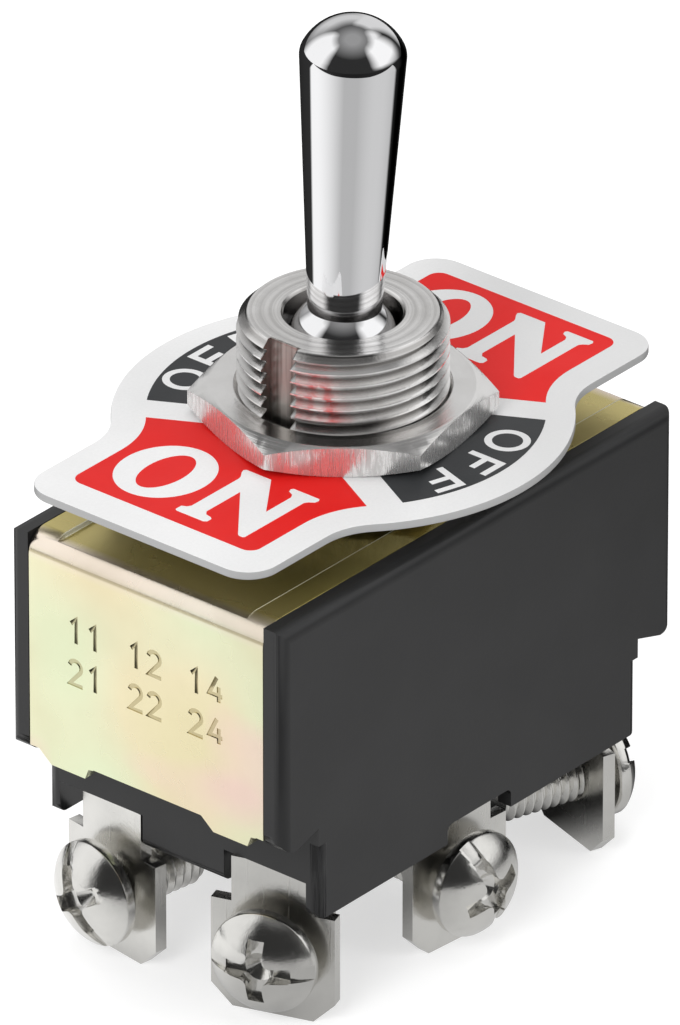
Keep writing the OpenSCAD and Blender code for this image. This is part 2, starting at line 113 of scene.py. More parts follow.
def edit(piece):
    """Opens piece in edit mode with all of it selected."""
    pick(piece)
    bpy.ops.object.mode_set(mode="EDIT")
    bpy.ops.mesh.select_all(action="SELECT")


def close_up(weld=1e-6):
    """Merges doubles all over the piece being edited and turns its faces outwards."""
    bpy.ops.mesh.select_all(action="SELECT")
    bpy.ops.mesh.remove_doubles(threshold=weld)
    bpy.ops.mesh.normals_make_consistent(inside=False)
    bpy.ops.object.mode_set(mode="OBJECT")


def draw(name, points):
    """Draws a line of corners, one after the other, and stays in edit mode."""
    let_go()
    bpy.ops.mesh.primitive_plane_add(size=MM)
    piece = bpy.context.object
    piece.name = piece.data.name = name
    bpy.ops.object.mode_set(mode="EDIT")
    bpy.ops.mesh.select_mode(type="VERT")
    bpy.ops.mesh.merge(type="CENTER")
    bpy.ops.transform.translate(value=points[0])
    for here, there in zip(points, points[1:]):
        step = Vector(there) - Vector(here)
        bpy.ops.mesh.extrude_region_move(TRANSFORM_OT_translate={"value": step})
    return piece


def lathe(name, outline, steps=96):
    """Turns an outline of radius and height, in mm, about Z."""
    piece = draw(name, [(r * MM, 0, z * MM) for r, z in outline])
    bpy.ops.mesh.select_all(action="SELECT")
    bpy.ops.mesh.spin(steps=steps, angle=TURN, center=(0, 0, 0), axis=(0, 0, 1))
    close_up()
    return piece


def slab(name, outline, low, high):
    """A flat shape with straight walls, from its corners in X and Y and its two heights."""
    piece = draw(name, [(x, y, low) for x, y in outline])
    bpy.ops.mesh.select_all(action="SELECT")
    bpy.ops.mesh.edge_face_add()
    bpy.ops.mesh.extrude_region_move(TRANSFORM_OT_translate={"value": (0, 0, high - low)})
    close_up(1e-8)
    return piece


def block(name, low, high):
    """A square tool for cutting, from corner to corner, in mm."""
    let_go()
    middle = [(a + b) / 2 * MM for a, b in zip(low, high)]
    size = [(b - a) * MM for a, b in zip(low, high)]
    bpy.ops.mesh.primitive_cube_add(size=1, location=middle, scale=size)
    bpy.ops.object.transform_apply()
    bpy.context.object.name = name
    return bpy.context.object


def arc(x, z, r, first, last, count):
    """Points along an arc, with angles in degrees."""
    spread = [math.radians(first + (last - first) * i / count) for i in range(count + 1)]
    return [(x + r * math.cos(a), z + r * math.sin(a)) for a in spread]


def oval(wide, tall, count=64):
    """Points round an oval from its two radii."""
    return [(wide * math.cos(TURN * i / count), tall * math.sin(TURN * i / count)) for i in range(count)]


def scaled(outline):
    """An outline in mm, in metres."""
    return [(x * MM, y * MM) for x, y in outline]


def place(piece, matrix):
    """Moves piece and applies the place to its mesh."""
    pick(piece)
    piece.matrix_world = matrix
    bpy.ops.object.transform_apply()
    return piece


def turned(degrees, axis):
    """A turn about X, Y or Z."""
    return Matrix.Rotation(math.radians(degrees), 4, axis)


def heal(piece):
    """Merges the corners that an operation left on top of each other."""
    edit(piece)
    bpy.ops.mesh.remove_doubles(threshold=4e-7)
    bpy.ops.mesh.dissolve_degenerate(threshold=4e-7)
    bpy.ops.object.mode_set(mode="OBJECT")
    return piece


def join_cut(piece, tool, how):
    """Cuts piece with tool, keeps what they share, or unites them; the tool is used up."""
    pick(piece)
    cut = piece.modifiers.new("cut", "BOOLEAN")
    cut.operation = how
    cut.solver = "EXACT"
    cut.object = tool
    bpy.ops.object.modifier_apply(modifier=cut.name)
    bpy.data.objects.remove(tool)
    return heal(piece)


def smooth(piece, angle=30):
    """Shades the round parts smooth and keeps the flat parts flat."""
    pick(piece)
    bpy.ops.object.shade_smooth_by_angle(angle=math.radians(angle))
    even = piece.modifiers.new("even", "WEIGHTED_NORMAL")
    even.keep_sharp = True
    bpy.ops.object.modifier_apply(modifier=even.name)
    return piece


def soften(piece, width, angle=30, rounds=2):
    """Breaks the sharp edges and shades the rest smooth."""
    pick(piece)
    edge = piece.modifiers.new("edge", "BEVEL")
    edge.width = width
    edge.segments = rounds
    edge.limit_method = "ANGLE"
    edge.angle_limit = math.radians(angle)
    edge.use_clamp_overlap = True
    edge.miter_outer = "MITER_ARC"
    bpy.ops.object.modifier_apply(modifier=edge.name)
    return smooth(heal(piece), angle)


def flatten(angle):
    """Joins neighbouring faces in one plane on the piece being edited, and leaves edit mode."""
    bpy.ops.mesh.dissolve_limited(angle_limit=math.radians(angle))
    bpy.ops.object.mode_set(mode="OBJECT")


def copy_of(source, name):
    """A copy with a mesh of its own."""
    pick(source)
    bpy.ops.object.duplicate()
    piece = bpy.context.object
    piece.name = piece.data.name = name
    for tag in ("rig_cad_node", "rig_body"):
        if tag in piece:
            del piece[tag]
    piece.parent = None
    return piece


def worked(node, name):
    """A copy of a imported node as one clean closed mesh."""
    piece = copy_of(nodes[node], name)
    edit(piece)
    bpy.ops.mesh.remove_doubles(threshold=2e-6)
    flatten(0.6)
    return piece


def fit_up(piece, body, slot, finish, *replaced):
    """Gives a finished piece its finish, its body and the nodes that it stands for."""
    piece.data.materials.clear()
    piece.data.materials.append(finish)
    for face in piece.data.polygons:
        face.material_index = 0
    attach(piece, body)
    if replaced:
        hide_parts(*replaced)
    return piece


def reach(node, way):
    """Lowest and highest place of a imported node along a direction."""
    along = [v.co.dot(way) for v in nodes[node].data.vertices]
    return min(along), max(along)


# ---------------------------------------------------------------- shader tools


def put(tree, kind, settings=None, **sockets):
    """Adds a shader node; a socket is given a value or the output that feeds it."""
    made = tree.nodes.new(kind)
    for key, value in (settings or {}).items():
        setattr(made, key, value)
    for key, value in sockets.items():
        socket = made.inputs[int(key[1:])] if key[0] == "_" else made.inputs[key.replace("_", " ")]
        if isinstance(value, bpy.types.NodeSocket):
            tree.links.new(value, socket)
        else:
            socket.default_value = value
    return made


def sums(tree, how, first, second=0.0):
    """One step of arithmetic."""
    return put(tree, "ShaderNodeMath", {"operation": how}, _0=first, _1=second).outputs[0]


def times(tree, first, second):
    """One value multiplied by another."""
    return sums(tree, "MULTIPLY", first, second)


def plus(tree, first, second):
    """Two values added up."""
    return sums(tree, "ADD", first, second)


def minus(tree, first, second):
    """One value less another."""
    return sums(tree, "SUBTRACT", first, second)


def unsigned(tree, value):
    """The value without its sign."""
    return sums(tree, "ABSOLUTE", value)


def blend(tree, share, first, second):
    """Mixes two colours."""
    return put(tree, "ShaderNodeMix", {"data_type": "RGBA"}, _0=share, _6=first, _7=second).outputs[2]


def scale_to(tree, value, low, high, new_low, new_high):
    """Moves a value from one range to another and holds it there."""
    made = put(tree, "ShaderNodeMapRange", None, _0=value, _1=low, _2=high, _3=new_low, _4=new_high)
    return made.outputs[0]


def between(tree, mask, low, high):
    """Turns a mask into values from low to high."""
    return scale_to(tree, mask, 0.0, 1.0, low, high)


def above(tree, value, low, high):
    """0 below low, 1 above high; the other way round when low is the greater."""
    return scale_to(tree, value, low, high, 0.0, 1.0)


def noise(tree, where, size, detail=3.0, rough=0.5):
    """Cloudy values whose patches are about size across."""
    made = put(tree, "ShaderNodeTexNoise", None, Vector=where, Scale=0.5 / size,
               Detail=detail, Roughness=rough)
    return made.outputs["Fac"]


def stretched(tree, where, amount):
    """Object coordinates drawn out along one way."""
    return put(tree, "ShaderNodeMapping", None, Vector=where, Scale=amount).outputs[0]


def coords(tree):
    """Places on the object, in its own axes."""
    return tree.nodes.new("ShaderNodeTexCoord").outputs["Object"]


def split(tree, where):
    """The X, Y and Z of a place or direction."""
    return put(tree, "ShaderNodeSeparateXYZ", None, _0=where).outputs


def radius(tree, parts):
    """Distance from the Z axis."""
    flat = put(tree, "ShaderNodeCombineXYZ", None, _0=parts[0], _1=parts[1]).outputs[0]
    return put(tree, "ShaderNodeVectorMath", {"operation": "LENGTH"}, _0=flat).outputs[1]


def group(name, values, results):
    """An effect with named inputs and outputs, for more than one finish."""
    tree = bpy.data.node_groups.new(name, "ShaderNodeTree")
    for key, start in values.items():
        given = tree.interface.new_socket(key, in_out="INPUT", socket_type="NodeSocketFloat")
        given.default_value = start
    for key in results:
        tree.interface.new_socket(key, in_out="OUTPUT", socket_type="NodeSocketFloat")
    return tree, tree.nodes.new("NodeGroupInput").outputs, tree.nodes.new("NodeGroupOutput").inputs


def use(tree, effect, **values):
    """Places an effect in a material with its own values."""
    return put(tree, "ShaderNodeGroup", {"node_tree": effect}, **values).outputs


def paint(name, metallic, roughness, **more):
    """A material with its Principled shader, ready to be fed."""
    made = bpy.data.materials.new(name)
    made.use_nodes = True
    shader = made.node_tree.nodes["Principled BSDF"]
    shader.inputs["Metallic"].default_value = metallic
    shader.inputs["Roughness"].default_value = roughness
    for key, value in more.items():
        shader.inputs[key.replace("_", " ")].default_value = value
    return made, made.node_tree, shader


def feed(tree, shader, key, value):
    """Joins an output to one of the shader's inputs."""
    tree.links.new(value, shader.inputs[key])


def emboss(tree, shader, height, depth):
    """Feeds a height, 0 to 1, into the shader's normal as a relief of that depth."""
    bump = put(tree, "ShaderNodeBump", None, Height=height, Distance=depth)
    tree.links.new(bump.outputs[0], shader.inputs["Normal"])


# ---------------------------------------------------------------- effects


def make_handling():
    """Finger marks and fine scratches, each as a mask."""
    tree, given, out = group("handling", {"Patch": 4.0, "Scratch": 0.5}, ["Mask", "Scratches"])
    where = coords(tree)
    rate = sums(tree, "DIVIDE", 0.5 / MM, given["Patch"])
    cloud = put(tree, "ShaderNodeTexNoise", None, Vector=where, Scale=rate, Detail=4.0, Roughness=0.55)
    tree.links.new(above(tree, cloud.outputs["Fac"], 0.35, 0.68), out["Mask"])
    fine = noise(tree, stretched(tree, where, (1.0, 1.0, 0.06)), 0.12 * MM, 2.0)
    line = above(tree, fine, 0.62, 0.72)
    tree.links.new(times(tree, line, given["Scratch"]), out["Scratches"])
    return tree


def make_grain():
    """A fine even grain, such as moulded plastic or blasted metal has, and a broad tone."""
    tree, given, out = group("grain", {"Size": 0.1}, ["Height", "Tone"])
    where = coords(tree)
    rate = sums(tree, "DIVIDE", 0.5 / MM, given["Size"])
    fine = put(tree, "ShaderNodeTexNoise", None, Vector=where, Scale=rate, Detail=2.0, Roughness=0.6)
    tree.links.new(fine.outputs["Fac"], out["Height"])
    broad = put(tree, "ShaderNodeTexNoise", None, Vector=where,
                Scale=sums(tree, "DIVIDE", rate, 14.0), Detail=3.0)
    tree.links.new(above(tree, broad.outputs["Fac"], 0.3, 0.7), out["Tone"])
    return tree


def make_turning():
    """Fine rings left by a lathe tool round the bushing's axis."""
    tree, given, out = group("turning", {"Ring": 0.2}, ["Height"])
    rate = sums(tree, "DIVIDE", 1 / MM, given["Ring"])
    along = times(tree, radius(tree, split(tree, coords(tree))), rate)
    ring = put(tree, "ShaderNodeTexNoise", {"noise_dimensions": "1D"}, W=along, Scale=1.0,
               Detail=3.0, Roughness=0.7)
    tree.links.new(ring.outputs["Fac"], out["Height"])
    return tree


handling = make_handling()
grain = make_grain()
turning = make_turning()


# ---------------------------------------------------------------- finishes


def metal(name, tint, roughness, spread, patch, scratch, relief=0.01, dark=0.8):
    """A bare or plated metal with marks from its making and from handling."""
    made, tree, shader = paint(name, 1.0, roughness)
    marks = use(tree, handling, Patch=patch, Scratch=scratch)
    speck = use(tree, grain, Size=0.14)
    low = tuple(c * dark for c in tint) + (1.0,)
    feed(tree, shader, "Base Color", blend(tree, between(tree, marks["Mask"], 0.0, 0.6), tint + (1.0,), low))
    rough = between(tree, marks["Mask"], roughness - spread, roughness + spread)
    feed(tree, shader, "Roughness", plus(tree, rough, times(tree, marks["Scratches"], 0.1)))
    height = plus(tree, times(tree, speck["Height"], 0.4), times(tree, marks["Scratches"], 0.3))
    emboss(tree, shader, height, relief * MM)
    return made


def make_bushing_nickel():
    """Turned nickel: rings on the mouth, painted shade in the thread's roots, a cutter's streaks in the
    keyway over painted shade.
    """
    made, tree, shader = paint("nickel", 1.0, 0.2)
    parts = split(tree, coords(tree))
    mouth = above(tree, parts[2], bush_top - 0.12 * MM, bush_top - 0.04 * MM)
    rings = use(tree, turning, Ring=0.3)
    ring_tone = times(tree, mouth, above(tree, rings["Height"], 0.35, 0.65))
    # Painted shade: the thread's roots are coloured darker, where shade falls between the crests.
    root = above(tree, radius(tree, parts), (THREAD_R - 0.1) * MM, (THREAD_ROOT + 0.1) * MM)
    root = times(tree, root, minus(tree, 1.0, mouth))
    marks = use(tree, handling, Patch=1.6, Scratch=0.5)
    colour = blend(tree, ring_tone, (0.97, 0.96, 0.95, 1), (0.74, 0.73, 0.72, 1))
    colour = blend(tree, times(tree, root, 0.75), colour, (0.30, 0.29, 0.28, 1))
    colour = blend(tree, times(tree, marks["Mask"], 0.3), colour, (0.5, 0.48, 0.46, 1))
    beside = above(tree, unsigned(tree, parts[1]), (KEY_HALF + 0.07) * MM, (KEY_HALF - 0.03) * MM)
    key = times(tree, above(tree, parts[0], (0.15 - KEY_FLOOR) * MM, (0.1 - KEY_FLOOR) * MM), beside)
    streak = noise(tree, stretched(tree, coords(tree), (1.0, 1.0, 0.05)), 0.3 * MM, 2.0)
    # The keyway's colour is dark painted shade, with the cutter's streaks in it.
    painted_shade = blend(tree, above(tree, streak, 0.38, 0.62), (0.16, 0.145, 0.13, 1), (0.5, 0.47, 0.44, 1))
    feed(tree, shader, "Base Color", blend(tree, key, colour, painted_shade))
    rough = between(tree, marks["Mask"], 0.14, 0.26)
    feed(tree, shader, "Roughness", sums(tree, "MAXIMUM", rough, times(tree, key, 0.42)))
    speck = use(tree, grain, Size=0.14)
    height = plus(tree, times(tree, speck["Height"], 0.5),
                  times(tree, times(tree, rings["Height"], mouth), 1.6))
    emboss(tree, shader, plus(tree, height, times(tree, key, streak)), 0.016 * MM)
    return made


def make_nut_nickel():
    """Nickel on a cut hexagon: bright turned faces, and flats that the cutter left hatched."""
    made, tree, shader = paint("nut_nickel", 1.0, 0.25)
    where = put(tree, "ShaderNodeTexCoord").outputs
    upright = unsigned(tree, split(tree, where["Normal"])[2])
    flank = above(tree, upright, 0.35, 0.15)
    level = minus(tree, 1.0, flank)
    hatch = noise(tree, stretched(tree, where["Object"], (1.0, 1.0, 0.12)), 0.09 * MM, 2.0, 0.7)
    rings = use(tree, turning, Ring=0.24)
    marks = use(tree, handling, Patch=1.8, Scratch=0.6)
    cut = times(tree, flank, above(tree, hatch, 0.42, 0.6))
    colour = blend(tree, cut, (0.92, 0.91, 0.90, 1), (0.72, 0.71, 0.70, 1))
    colour = blend(tree, times(tree, marks["Mask"], 0.25), colour, (0.62, 0.60, 0.58, 1))
    feed(tree, shader, "Base Color", colour)
    feed(tree, shader, "Metallic", between(tree, flank, 1.0, 0.8))
    rough = times(tree, scale_to(tree, hatch, 0.35, 0.65, 0.18, 0.36), flank)
    feed(tree, shader, "Roughness",
         plus(tree, rough, times(tree, between(tree, marks["Mask"], 0.15, 0.24), level)))
    height = plus(tree, times(tree, times(tree, hatch, flank), 1.6), times(tree, rings["Height"], level))
    emboss(tree, shader, height, 0.012 * MM)
    return made


def make_plate_metal():
    """Pale frosted aluminium, more matt than shiny, with painted shade at its edge and towards one corner.
    """
    made, tree, shader = paint("bare_plate", 0.15, 0.45)
    where = put(tree, "ShaderNodeTexCoord").outputs
    rise = split(tree, where["Normal"])[2]
    parts = split(tree, where["Object"])
    marks = use(tree, handling, Patch=3.0, Scratch=0.3)
    speck = use(tree, grain, Size=0.09)
    colour = blend(tree, speck["Height"], (0.84, 0.84, 0.84, 1), (0.94, 0.94, 0.94, 1))
    colour = blend(tree, times(tree, marks["Mask"], 0.2), colour, (0.72, 0.72, 0.72, 1))
    # Painted shade: the colour grows darker towards one corner.
    painted_shade = scale_to(tree, minus(tree, parts[0], parts[1]), 5 * MM, 15 * MM, 0.0, 0.5)
    colour = blend(tree, painted_shade, colour, (0.60, 0.60, 0.60, 1))
    # Painted shade on the plate's edge: faces that turn away from above are coloured darker.
    colour = blend(tree, scale_to(tree, rise, 0.96, 0.6, 0.0, 0.9), colour, (0.46, 0.46, 0.46, 1))
    feed(tree, shader, "Base Color", colour)
    feed(tree, shader, "Roughness", between(tree, marks["Mask"], 0.4, 0.5))
    emboss(tree, shader, speck["Height"], 0.006 * MM)
    return made


def make_plastic():
    """Black phenolic moulding, satin, with a faint grain."""
    made, tree, shader = paint("black_plastic", 0.0, 0.38, Specular_IOR_Level=0.4)
    marks = use(tree, handling, Patch=6.0, Scratch=0.4)
    speck = use(tree, grain, Size=0.16)
    colour = blend(tree, speck["Tone"], (0.017, 0.017, 0.0175, 1), (0.022, 0.022, 0.0225, 1))
    colour = blend(tree, between(tree, marks["Mask"], 0.0, 0.35), colour, (0.032, 0.032, 0.033, 1))
    feed(tree, shader, "Base Color", colour)
    feed(tree, shader, "Roughness", between(tree, marks["Mask"], 0.34, 0.44))
    emboss(tree, shader, plus(tree, speck["Height"], times(tree, marks["Scratches"], 0.4)), 0.004 * MM)
    return made


def make_plating():
    """Zinc with a chromate bloom: straw, pink and pale green on the ends, deep gold on top, partly painted
    shade; a painted highlight on the bend.

    A painted highlight runs along the channel's edges on top, and the stamped numbers are a little darker.
    """
    made, tree, shader = paint("plated_frame", 1.0, 0.27)
    where = coords(tree)
    parts = split(tree, where)
    out = unsigned(tree, parts[0])
    end = -end_face
    wide = noise(tree, where, 7.0 * MM, 1.0)
    wide_two = noise(tree, stretched(tree, where, (1.3, 0.8, 1.6)), 5.0 * MM, 1.2)
    straw, gold = (0.96, 0.86, 0.60, 1), (0.92, 0.83, 0.52, 1)
    green, pink = (0.84, 0.93, 0.64, 1), (1.0, 0.73, 0.66, 1)
    colour = blend(tree, scale_to(tree, wide, 0.4, 0.6, 0.0, 0.8), straw, gold)
    colour = blend(tree, scale_to(tree, wide, 0.5, 0.36, 0.0, 0.85), colour, green)
    colour = blend(tree, scale_to(tree, wide_two, 0.54, 0.68, 0.0, 0.8), colour, pink)
    # Painted highlight: the bend below the top is coloured pale and bright.
    painted_bend_highlight = above(tree, parts[2], frame_top - 1.6 * MM, frame_top - 0.7 * MM)
    colour = blend(tree, times(tree, painted_bend_highlight, 0.75), colour, (0.99, 0.86, 0.78, 1))
    top = times(tree, above(tree, parts[2], frame_top - 0.6 * MM, frame_top - 0.4 * MM),
                above(tree, out, end - 0.6 * MM, end - 1.3 * MM))
    # The top's deep gold is partly the chromate's own tone and partly painted shade.
    deep = blend(tree, above(tree, wide, 0.4, 0.6), (0.78, 0.66, 0.28, 1), (0.66, 0.56, 0.19, 1))
    colour = blend(tree, top, colour, deep)
    # Painted highlight: a thin bright line along the channel's edges on top, made less metallic so the lamps
    # light it.
    from_edge = unsigned(tree, minus(tree, unsigned(tree, parts[1]), CHANNEL_HALF))
    painted_edge_highlight = times(tree, top, above(tree, from_edge, 0.11 * MM, 0.03 * MM))
    colour = blend(tree, painted_edge_highlight, colour, (1.0, 0.98, 0.78, 1))
    diffuse_share = plus(tree, times(tree, top, 0.12), times(tree, painted_edge_highlight, 0.85))
    feed(tree, shader, "Metallic", minus(tree, 1.0, diffuse_share))
    pressed = times(tree, above(tree, out, end - 0.2 * STAMP_DEPTH, end - 0.6 * STAMP_DEPTH),
                    scale_to(tree, out, end - 1.4 * STAMP_DEPTH, end - 1.1 * STAMP_DEPTH, 0.0, 0.55))
    colour = blend(tree, pressed, colour, (0.42, 0.34, 0.16, 1))
    marks = use(tree, handling, Patch=3.0, Scratch=0.6)
    colour = blend(tree, between(tree, marks["Mask"], 0.0, 0.1), colour, (0.55, 0.45, 0.25, 1))
    feed(tree, shader, "Base Color", colour)
    feed(tree, shader, "Roughness", between(tree, marks["Mask"], 0.22, 0.33))
    speck = use(tree, grain, Size=0.2)
    emboss(tree, shader, plus(tree, speck["Height"], times(tree, marks["Scratches"], 0.5)), 0.006 * MM)
    return made


def make_ink(name, tint, deep):
    """Screen-printed ink on metal."""
    made, tree, shader = paint(name, 0.0, 0.45, Specular_IOR_Level=0.22)
    speck = use(tree, grain, Size=0.1)
    marks = use(tree, handling, Patch=2.5, Scratch=0.3)
    feed(tree, shader, "Base Color", blend(tree, between(tree, speck["Tone"], 0.0, 0.5), tint, deep))
    feed(tree, shader, "Roughness", between(tree, marks["Mask"], 0.38, 0.5))
    emboss(tree, shader, speck["Height"], 0.003 * MM)
    return made


def make_nylon():
    """White moulded nylon, slightly see-through."""
    made, tree, shader = paint("white_nylon", 0.0, 0.45, Subsurface_Weight=0.1, Subsurface_Scale=0.5 * MM)
    speck = use(tree, grain, Size=0.12)
    white, cream = (0.80, 0.79, 0.74, 1), (0.74, 0.73, 0.68, 1)
    feed(tree, shader, "Base Color", blend(tree, speck["Tone"], white, cream))
    emboss(tree, shader, speck["Height"], 0.004 * MM)
    return made


black_plastic = make_plastic()
plated_frame = make_plating()
nickel = make_bushing_nickel()
nut_nickel = make_nut_nickel()
tab_nickel = metal("tab_nickel", (0.76, 0.75, 0.72), 0.24, 0.06, 2.2, 0.7, relief=0.02)
screw_nickel = metal("screw_nickel", (0.78, 0.77, 0.74), 0.20, 0.06, 1.6, 0.4, relief=0.02)
chrome = metal("chrome", (0.88, 0.88, 0.89), 0.035, 0.02, 5.0, 0.0, relief=0.0006, dark=0.96)
bare_plate = make_plate_metal()
steel = metal("steel", (0.62, 0.62, 0.63), 0.28, 0.06, 2.0, 0.6, relief=0.012)
copper = metal("copper", (0.86, 0.50, 0.32), 0.26, 0.06, 2.0, 0.5, relief=0.012)
brass = metal("brass", (0.80, 0.64, 0.34), 0.25, 0.06, 2.0, 0.5, relief=0.012)
silver = metal("silver", (0.90, 0.89, 0.86), 0.22, 0.05, 1.5, 0.3)
red_ink = make_ink("red_ink", (0.72, 0.014, 0.012, 1), (0.66, 0.011, 0.010, 1))
black_ink = make_ink("black_ink", (0.034, 0.036, 0.038, 1), (0.044, 0.045, 0.047, 1))
white_nylon = make_nylon()


# ---------------------------------------------------------------- threads


def threaded(name, root, crest, pitch, low, high, steps):
    """A rod with a sharp thread, cut square at both ends; sizes in mm."""
    rib = [(root, 0), (root, 0.14), (crest, 0.5), (crest, 0.62), (root, 1)]
    start = low - 1.5 * pitch
    piece = draw(name, [(r * MM, 0, (start + t * pitch) * MM) for r, t in rib])
    bpy.ops.object.mode_set(mode="OBJECT")
    turns = piece.modifiers.new("turns", "SCREW")
    turns.angle = TURN
    turns.screw_offset = pitch * MM
    turns.iterations = math.ceil((high - low) / pitch) + 3
    turns.steps = turns.render_steps = steps
    turns.use_merge_vertices = True
    turns.merge_threshold = 1e-7
    bpy.ops.object.modifier_apply(modifier=turns.name)
    edit(piece)
    bpy.ops.mesh.remove_doubles(threshold=1e-7)
    for height, upper in ((high, True), (low, False)):
        bpy.ops.mesh.select_all(action="SELECT")
        bpy.ops.mesh.bisect(plane_co=(0, 0, height * MM), plane_no=(0, 0, 1), use_fill=True,
                            clear_outer=upper, clear_inner=not upper, threshold=1e-8)
    close_up(1e-7)
    return piece


# ---------------------------------------------------------------- bushing


def make_bushing():
    """The threaded bushing with its keyway, its seat for the lever's ball and its flange."""
    tall = (bush_top - frame_top) / MM
    foot = (bush_foot - frame_top) / MM
    seat = (pivot.z - frame_top) / MM
    flange = bush_flange / MM
    shank, bore_r, pin_r, slot_half = 6.5, 3.37, 0.85, 4.9
    piece = threaded("bushing_threaded", THREAD_ROOT, THREAD_R, THREAD_PITCH, -0.5, tall, 128)
    blank = [(0, -1), (THREAD_R + 1, -1), (THREAD_R + 1, tall - 1.6), (THREAD_R - 0.62, tall), (0, tall)]
    join_cut(piece, lathe("blank", blank, 128), "INTERSECT")
    collar = [(0, foot), (flange, foot), (flange, foot + 1.4), (shank, foot + 1.4), (shank, -0.03),
              (0, -0.03)]
    join_cut(piece, lathe("collar", collar, 120), "UNION")
    bore = [(0, foot - 0.1), (5.2, foot - 0.1), (2.9, seat - 1.4)] + arc(0, seat, bore_r, -24.5, 0, 8)
    bore += [(bore_r, tall - 0.16), (3.6, tall + 0.07), (0, tall + 0.07)]
    join_cut(piece, lathe("bore", bore), "DIFFERENCE")
    keyway = block("key", (-THREAD_R - 1, -KEY_HALF, 0.3), (-KEY_FLOOR, KEY_HALF, tall + 1.05))
    join_cut(piece, keyway, "DIFFERENCE")
    slot = block("slot", (-pin_r, -slot_half, foot - 1), (pin_r, slot_half, seat))
    join_cut(piece, slot, "DIFFERENCE")
    room = lathe("pin_room", [(0, -slot_half), (pin_r, -slot_half), (pin_r, slot_half), (0, slot_half)], 32)
    place(room, Matrix.Translation((0, 0, seat * MM)) @ turned(90, "X"))
    join_cut(piece, room, "DIFFERENCE")
    place(piece, Matrix.Translation((0, 0, frame_top)))
    return fit_up(smooth(piece, 22), "switch_body", "nickel", nickel, "bushing")


# ---------------------------------------------------------------- lever


def make_lever():
    """The chromed lever: a tapered stem with a crowned tip, its ball, and its shank inside."""
    lean = 2.7
    pin = reach("lever_pin", Vector((0, 0, 1)))
    hole_r = (pin[1] - pin[0]) / 2 / MM + 0.05
    way = Vector((math.sin(math.radians(lean)), 0, math.cos(math.radians(lean))))
    low, tip = ((end - pivot.dot(way)) / MM for end in reach("lever", way))
    ball, shank, neck = 3.3, 1.9, 2.1
    ball_low = -math.degrees(math.acos(shank / ball))
    ball_high = math.degrees(math.acos(neck / ball))
    rim, corner, fall = 3.02, 1.3, 2.35
    inner = rim - corner
    crown = (fall ** 2 + inner ** 2 - corner ** 2) / 2 / (fall - corner)
    swing = math.degrees(math.asin(inner / (crown - corner)))
    outline = [(0, low), (shank - 0.3, low), (shank, low + 0.3)]
    outline += arc(0, 0, ball, ball_low, ball_high, 28)
    outline += [(rim, tip - fall)]
    outline += arc(inner, tip - fall, corner, 0, 90 - swing, 14)[1:]
    outline += arc(0, tip - crown, crown, 90 - swing, 90, 16)[1:-1] + [(0, tip)]
    piece = lathe("lever_chromed", outline, 144)
    hole = lathe("hole", [(0, -5), (hole_r, -5), (hole_r, 5), (0, 5)], 32)
    join_cut(piece, place(hole, turned(90, "X")), "DIFFERENCE")
    place(piece, Matrix.Translation(pivot) @ turned(lean, "Y"))
    return fit_up(smooth(piece, 25), "lever_body", "chrome", chrome, "lever")


# ---------------------------------------------------------------- terminal screws

HEAD_R = 3.15
HEAD_TALL = 2.2
SCREW_LONG = 6.6
SCREW_TURNS = (90, 20, 60, 30, 75, 10)


def make_head():
    """The screw's crowned head, its seat at zero."""
    rim, dome_rise = 0.62, 1.5
    crown = (HEAD_R ** 2 + dome_rise ** 2) / 2 / dome_rise
    half = math.degrees(math.asin(HEAD_R / crown))
    dome = arc(0, HEAD_TALL - crown, crown, 90 - half, 90, 14)[1:-1]
    outline = [(0, 0), (HEAD_R - 0.15, 0), (HEAD_R, 0.15), (HEAD_R, rim)]
    outline += arc(HEAD_R - 0.2, rim, 0.2, 0, 50, 3)[1:]
    outline += [point for point in dome if point[0] < HEAD_R - 0.1] + [(0, HEAD_TALL)]
    return lathe("head", outline, 72)


def make_slot():
    """The tool for the screw's slot, with a floor that is crowned like the head."""
    half, floor_top, crown = 0.42, 1.8, 4.73
    slot = block("slot", (-3.6, -half, 0.2), (3.6, half, 3))
    floor = [(0, -1), (3.9, -1)] + arc(0, floor_top - crown, crown, 34.5, 90, 12)[:-1] + [(0, floor_top)]
    return join_cut(slot, lathe("slot_floor", floor, 72), "DIFFERENCE")


def make_cross():
    """The tool for the screw's cross, its four arms meeting in rounded corners."""
    long, half, inner = 1.95, 0.48, 0.42
    wing = [(long, -half), (long, half)] + arc(half + inner, half + inner, inner, 270, 180, 6)
    cross = [(Matrix.Rotation(math.radians(turn), 2) @ Vector(point)).to_tuple()
             for turn in (0, 90, 180, 270) for point in wing]
    return slab("recess", scaled(cross), 1.12 * MM, 2.6 * MM)


def make_screw():
    """One pan head screw along Z, its head's seat at zero: thread, crowned head, slot and cross."""
    piece = threaded("screw_pattern", 1.4, 1.74, 0.6, -SCREW_LONG, 0.4, 64)
    point = [(0, -SCREW_LONG), (1.32, -SCREW_LONG), (1.75, 0.4 - SCREW_LONG), (1.75, 0.3), (0, 0.3)]
    join_cut(piece, lathe("point", point, 48), "INTERSECT")
    join_cut(piece, make_head(), "UNION")
    join_cut(piece, make_slot(), "DIFFERENCE")
    join_cut(piece, make_cross(), "DIFFERENCE")
    socket = [(0, 0.42), (0.3, 0.5), (1.02, 1.3), (1.02, 1.7), (0, 1.7)]
    join_cut(piece, lathe("socket", socket, 48), "DIFFERENCE")
    return soften(piece, 0.05 * MM, 34)


